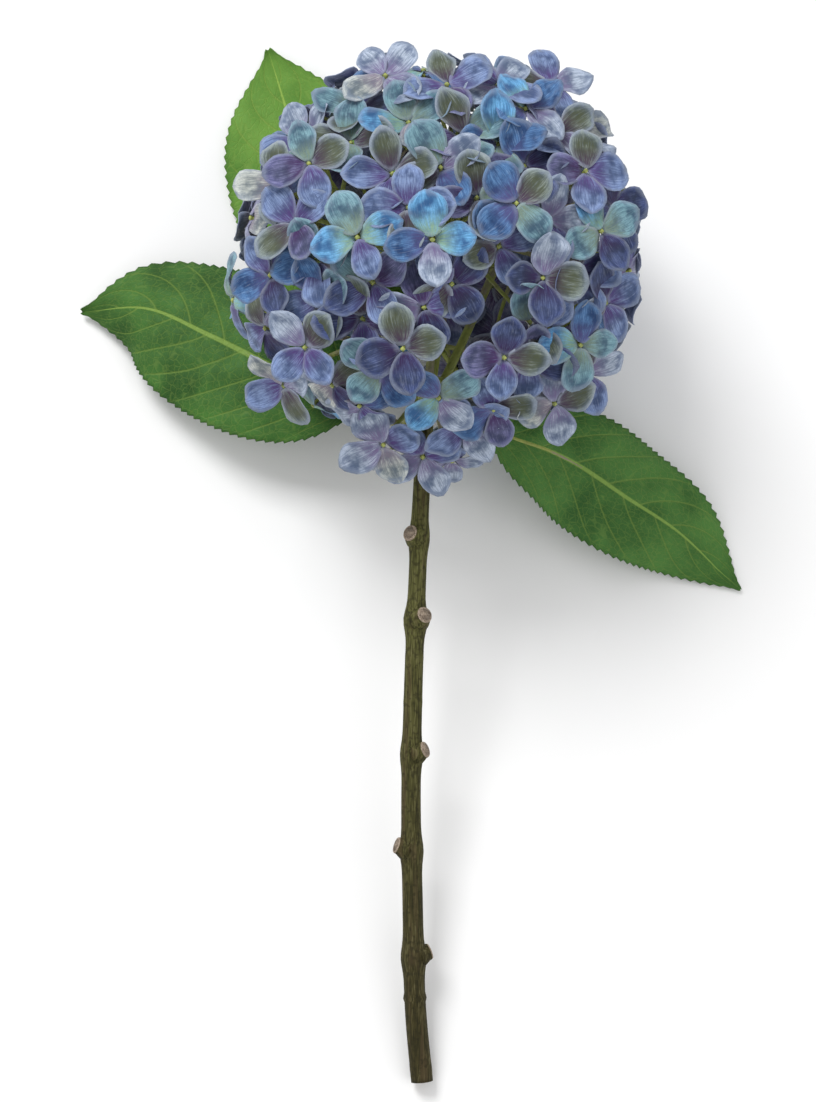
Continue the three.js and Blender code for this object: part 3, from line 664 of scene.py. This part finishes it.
def floret(towards, degrees, depth, proud, front_turn):
    """Where a floret sits: its eye, the way it faces, its turn, its size, and the lowest it may reach."""
    direction = unit(towards)
    wanted = HEAD_RADIUS * depth * max(1, np.linalg.norm(towards)) + proud
    outside = HEAD_MIDDLE + direction * wanted
    beside = np.hypot(*(back_blade - outside)[:, :2].T).min()
    over_leaf = beside < LEAVES["leaf_back"]["half_width"] + 0.7 * FLORET_RADIUS
    lowest = SURFACE_GAP + (LEAF_CUSHION if over_leaf else 0)
    fall = -direction @ UP
    room = (HEAD_REST_HEIGHT - lowest - DISH_DEPTH) / fall if fall > 0 else 1
    eye = HEAD_MIDDLE + direction * min(wanted, room)
    face = unit(direction + np.array((0, 0, front_turn)))
    size = min(FLORET_RADIUS, np.linalg.norm(leaf_points - eye, axis=1).min() - LEAF_GAP)
    return dict(eye=eye, face=face, turn=math.radians(degrees), size=size, lowest=lowest)


def nodded(across, up):
    """The way out of the head to a floret of the front, which hangs down a little towards the stem."""
    x, y = across / 100, up / 100
    z = math.sqrt(max(0, 1 - x * x - y * y))
    return x, y * math.cos(HEAD_NOD) - z * math.sin(HEAD_NOD), z * math.cos(HEAD_NOD) + y * math.sin(HEAD_NOD)


front_rows = [row for rows in FRONT_CYMES for row in rows]
front_eyes = np.array([floret(nodded(row[0], row[1]), 0, 1, 0, 0)["eye"] for row in front_rows])
cymes = []
for rows in FRONT_CYMES:
    group = []
    for across, up, degrees, colours, pose in rows:
        _, _, _, proud, front_turn = POSES[pose]
        one = floret(nodded(across, up), degrees, 1, proud, front_turn)
        group.append(one | dict(colours=colours, pose=pose))
    cymes.append(group)
for k in range(SPIRAL_CYMES):
    y = 1 - (2 * k + 1) / SPIRAL_CYMES
    around = math.sqrt(1 - y * y)
    middle = np.array((around * math.cos(k * GOLDEN_ANGLE), y, around * math.sin(k * GOLDEN_ANGLE)))
    if middle[2] > SPIRAL_BACK or middle[1] < STEM_CLEARING:
        continue
    side = unit(np.cross((0, 1, 0), middle))
    other = np.cross(middle, side)
    group = []
    for i in range(3):
        a = chance(k, 1) * 2 * math.pi + i * 2 * math.pi / 3
        reach = math.cos(a) * side + math.sin(a) * other
        one = floret(middle + CYME_SPREAD * reach, 360 * chance(k, i + 2), BACK_DEPTH, 0, 0)
        clear = np.linalg.norm(front_eyes - one["eye"], axis=1).min()
        if one["size"] > SMALLEST_FLORET and clear > FRONT_CLEARING * HEAD_RADIUS:
            mix = BACK_MIXES[int(chance(k, 11 + i) * len(BACK_MIXES))]
            group.append(one | dict(colours=mix, pose="fcr"[int(chance(k, 21 + i) * 3)]))
    if group:
        cymes.append(group)

# One sepal blank: a round, two-sided disc of rings, worked inwards from its rim.
SEPAL_SIDES = 22
SEPAL_RINGS = 6
bpy.ops.mesh.primitive_circle_add(vertices=SEPAL_SIDES, radius=1, fill_type="NOTHING")
blank = bpy.context.object
bpy.ops.object.mode_set(mode="EDIT")
bpy.ops.mesh.select_all(action="SELECT")
for ring in range(SEPAL_RINGS, 1, -1):
    bpy.ops.mesh.extrude_edges_move()
    bpy.ops.transform.resize(value=((ring - 1) / ring, (ring - 1) / ring, 1))
bpy.ops.mesh.edge_face_add()
bpy.ops.mesh.poke()
bpy.ops.mesh.select_all(action="SELECT")
bpy.ops.mesh.normals_make_consistent(inside=False)
bpy.ops.object.mode_set(mode="OBJECT")
thick = blank.modifiers.new("two_sides", "SOLIDIFY")
thick.thickness = 1
thick.offset = 0
bpy.ops.object.modifier_apply(modifier="two_sides")
blank_points = points_of(blank)
blank_faces = [tuple(face.vertices) for face in blank.data.polygons]
top_face = max(blank.data.polygons, key=lambda face: face.center.z)
if top_face.normal.z < 0:
    blank_faces = [face[::-1] for face in blank_faces]
bpy.data.objects.remove(blank)

# One button for the middle of a floret: a small ball pinched into four.
bpy.ops.mesh.primitive_uv_sphere_add(segments=12, ring_count=8, radius=1)
blank = bpy.context.object
button_points = points_of(blank)
button_faces = [tuple(face.vertices) for face in blank.data.polygons]
bpy.data.objects.remove(blank)
around = np.arctan2(button_points[:, 1], button_points[:, 0])
pinch = 0.86 + 0.14 * np.cos(4 * around)
button_points = button_points * np.stack((pinch, pinch, 0.75 + 0 * pinch), axis=1)

# One plain bar for the stalks.
bar_rings = 7
bar = bent_bar("bar", np.linspace((0, 0, 0), (0, 0, 1), bar_rings), np.ones(bar_rings), 8)
bar_points = points_of(bar)
bar_faces = [tuple(face.vertices) for face in bar.data.polygons]
bpy.data.objects.remove(bar)

ring = np.hypot(blank_points[:, 0], blank_points[:, 1])
around = np.arctan2(blank_points[:, 0], blank_points[:, 1])
under = blank_points[:, 2] < 0
LAVENDER_GREY = np.array((0.24, 0.25, 0.36))


def sepal(one, index, seed):
    """One sepal's points in the upright flower, with its colours and its own coordinates at each."""
    tint, throat, olive, rim = SEPAL_COLOURS[one["colours"][index]]
    rise, curl, cup, _, _ = POSES[one["pose"]]
    vary = [chance(seed, 40 + j) - 0.5 for j in range(9)]
    length = one["size"] * (0.96 + 0.16 * vary[0])
    half = 0.4 * length * (1 + 0.2 * vary[1])
    middle, spread = 0.53 * length, 0.475 * length
    lozenge = 1 - (0.03 + 0.08 * vary[6]) * ring**2 * np.sin(2 * around) ** 2
    x = half * ring * lozenge * np.sin(around) * (1 + 0.22 * ring * np.cos(around))
    y = middle + spread * ring * lozenge * np.cos(around)
    y = y + 0.05 * length * ring**4 * np.exp(-((around / 0.3) ** 2))
    y = y - 0.03 * length * vary[3] * ring * np.sin(around)
    reach = np.clip((y - middle) / spread, -0.999, 0.999)
    wide = half * np.sqrt(1 - reach**2) * (1 + 0.22 * reach) * 0.97
    fan = np.clip(x / np.maximum(wide, 1e-5), -1, 1)
    t = y / length
    z = length * ((rise + 0.16 * vary[2]) * t + (curl + 0.3 * vary[3]) * t * t)
    z = z + cup * (1 + vary[4]) * x * x / length
    z = z + length * (0.05 + 0.05 * vary[5]) * ring**3 * np.sin(3 * around + 6.28 * vary[6])
    z = z + 0.012 * length * ring**4 * np.sin(7 * around + 6.28 * vary[2])
    z = z - 0.02 * length * np.exp(-((x / (0.12 * half)) ** 2)) * t
    z = z + 0.0007 * (index % 2) * (1 - t) - under * SEPAL_THICKNESS
    x = x + 0.10 * vary[7] * y * t
    side = unit(np.cross((0, 1, 0), one["face"]))
    other = np.cross(one["face"], side)
    a = one["turn"] + index * math.pi / 2 + 0.2 * vary[8]
    out = math.cos(a) * side + math.sin(a) * other
    across = np.cross(out, one["face"])
    at = one["eye"] + np.outer(x, across) + np.outer(y, out) + np.outer(z, one["face"])
    soft = 0.0012
    lack = (height_of(at) - one["lowest"]) / soft
    eased = soft * np.logaddexp(0, lack) - soft * lack
    at = at + np.outer(np.where(lack < 12, eased, 0), UP)
    shade = np.where(under[:, None], 0.45 * np.array(tint) + 0.55 * LAVENDER_GREY, tint)
    tints = np.column_stack((shade, np.where(under, 0.4 * olive, olive)))
    throats = np.column_stack((np.tile(throat, (len(x), 1)), np.full(len(x), rim)))
    petal = np.column_stack((ring, t, 0.5 + 0.5 * fan, np.full(len(x), chance(seed, 60))))
    return at, petal, tints, throats


def bar_along(start, end, start_radius, end_radius, sag):
    """A stalk with a slight bow, from one point to another."""
    t = np.clip(bar_points[:, 2], 0, 1)[:, None]
    along = unit(end - start)
    side = unit(np.cross((0.3, 0.2, 1), along))
    other = np.cross(along, side)
    radius = start_radius + (end_radius - start_radius) * t
    middle = start + t * (end - start) + sag * 4 * t * (1 - t)
    return middle + radius * (bar_points[:, :1] * side + bar_points[:, 1:2] * other)


sepal_finish, shader = finish_for("petal", 0.65, 0.2)
tree = sepal_finish.node_tree
petal_at = node(tree, "ShaderNodeAttribute", {"attribute_name": "petal"})
own = node(tree, "ShaderNodeSeparateXYZ", Vector=petal_at.outputs["Vector"])
rim_at, length_at, fan_at = own.outputs["X"], own.outputs["Y"], own.outputs["Z"]
tint_at = node(tree, "ShaderNodeAttribute", {"attribute_name": "tint"})
throat_at = node(tree, "ShaderNodeAttribute", {"attribute_name": "throat"})
seed = calc(tree, "MULTIPLY", petal_at.outputs["Alpha"], 47.0)
place = node(tree, "ShaderNodeCombineXYZ", X=calc(tree, "MULTIPLY", fan_at, 15.0),
             Y=calc(tree, "MULTIPLY", length_at, 1.3), Z=seed).outputs[0]
streaks, _ = fibres_in(tree, place, 1.6)
stretched = calc(tree, "MULTIPLY", length_at, 1.4)
flat = node(tree, "ShaderNodeCombineXYZ", X=fan_at, Y=stretched, Z=seed).outputs[0]
blotches = node(tree, "ShaderNodeTexNoise", Vector=flat, Scale=2.6, Detail=3.0).outputs[0]
speckle = node(tree, "ShaderNodeTexNoise", Vector=node(tree, "ShaderNodeTexCoord").outputs["Object"],
               Scale=1500.0, Detail=2.0).outputs[0]
veins = ramp(tree, streaks, 0.44, 0.6)
bright = blend_colours(tree, 1.0, tint_at.outputs["Color"], (1.82, 1.72, 1.52, 1), "MULTIPLY")
deep = blend_colours(tree, 1.0, tint_at.outputs["Color"], (0.34, 0.4, 0.5, 1), "MULTIPLY")
ground = blend_colours(tree, ramp(tree, blotches, 0.34, 0.66), bright, deep)
ground = blend_colours(tree, calc(tree, "MULTIPLY", veins, 0.6), ground, deep)
ground = blend_colours(tree, ramp(tree, streaks, 0.48, 0.36, 0, 0.16), ground, (0.5, 0.54, 0.62, 1))
olive_share = calc(tree, "MULTIPLY", tint_at.outputs["Alpha"], ramp(tree, rim_at, 0.95, 0.45))
olive_share = calc(tree, "MULTIPLY", olive_share, ramp(tree, streaks, 0.32, 0.55, 0.45, 1.0))
ground = blend_colours(tree, olive_share, ground, (0.07, 0.082, 0.04, 1))
throat_reach = ramp(tree, streaks, 0.4, 0.56, 0.35, 1.0)
throat_share = calc(tree, "MULTIPLY", ramp(tree, length_at, 0.68, 0.16), throat_reach)
ground = blend_colours(tree, throat_share, ground, throat_at.outputs["Color"])
edge = calc(tree, "MULTIPLY_ADD", blotches, 0.5, rim_at)
edge_share = calc(tree, "MULTIPLY", ramp(tree, edge, 0.98, 1.32), throat_at.outputs["Alpha"])
ground = blend_colours(tree, edge_share, ground, (0.45, 0.52, 0.64, 1))
ground = blend_colours(tree, ramp(tree, speckle, 0.45, 0.7, 0, 0.22), ground, deep)
tree.links.new(ground, shader.inputs["Base Color"])
shader.inputs["Sheen Weight"].default_value = 0.12
bump = node(tree, "ShaderNodeBump", Height=streaks, Strength=0.35, Distance=0.0006)
tree.links.new(bump.outputs[0], shader.inputs["Normal"])

button_finish, shader = finish_for("floret_button", 0.5)
tree = button_finish.node_tree
place = node(tree, "ShaderNodeTexCoord").outputs["Object"]
grain = node(tree, "ShaderNodeTexNoise", Vector=place, Scale=700.0, Detail=2.0).outputs[0]
BUTTON_PALE = (0.38, 0.42, 0.11, 1)
BUTTON_DARK = (0.2, 0.24, 0.07, 1)
ground = blend_colours(tree, ramp(tree, grain, 0.35, 0.65), BUTTON_PALE, BUTTON_DARK)
tree.links.new(ground, shader.inputs["Base Color"])

for k, group in enumerate(cymes):
    eyes = np.array([one["eye"] for one in group])
    middle = eyes.mean(0)
    knuckle = KNUCKLES[np.linalg.norm(KNUCKLES - middle, axis=1).argmin()]
    fork = knuckle + FORK_SHARE * (middle - knuckle)
    start = knuckle + unit(fork - knuckle) * (KNUCKLE_RADIUS * 0.8 + JOINT_GAP)
    parts = []
    stalk_bars = [bar_along(start, fork, STALK_RADIUS, STALK_RADIUS * 0.9, np.zeros(3))]
    for i, one in enumerate(group):
        sag = 0.0025 * np.array([chance(3 * k + i, 80 + j) - 0.5 for j in range(3)])
        stalk_bars.append(bar_along(fork, one["eye"], STALK_RADIUS * 0.9, PEDICEL_RADIUS, sag))
        for index in range(4):
            at, petal, tints, throats = sepal(one, index, 100 * k + 10 * i + index + 1)
            parts.append((at, blank_faces, 0, petal, tints, throats))
        side = unit(np.cross((0, 1, 0), one["face"]))
        other = np.cross(one["face"], side)
        turned = button_points * EYE_RADIUS
        height = turned[:, 2:] + BUTTON_LIFT
        at = one["eye"] + turned[:, :1] * side + turned[:, 1:2] * other + height * one["face"]
        parts.append((at, button_faces, 2, None, None, None))
    for at in stalk_bars:
        parts.append((at, bar_faces, 1, None, None, None))
    points = np.vstack([part[0] for part in parts])
    faces, finishes, base = [], [], 0
    for at, own_faces, finish, *_ in parts:
        faces += [tuple(base + v for v in face) for face in own_faces]
        finishes += [finish] * len(own_faces)
        base += len(at)
    mesh = bpy.data.meshes.new(f"florets_{k + 1:02d}")
    mesh.from_pydata(laid(points).tolist(), [], faces)
    for finish in (sepal_finish, stalk_finish, button_finish):
        mesh.materials.append(finish)
    mesh.polygons.foreach_set("material_index", finishes)
    for slot, name in ((3, "petal"), (4, "tint"), (5, "throat")):
        colours = mesh.attributes.new(name, "FLOAT_COLOR", "POINT")
        values = [np.zeros((len(part[0]), 4)) if part[slot] is None else part[slot] for part in parts]
        values = np.vstack(values)
        colours.data.foreach_set("color", values.astype(np.float32).ravel())
    mesh.shade_smooth()
    florets = bpy.data.objects.new(mesh.name, mesh)
    bpy.context.scene.collection.objects.link(florets)
    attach(florets, "root")
    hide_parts(f"cyme_{k + 1:02d}")

bpy.context.view_layer.update()
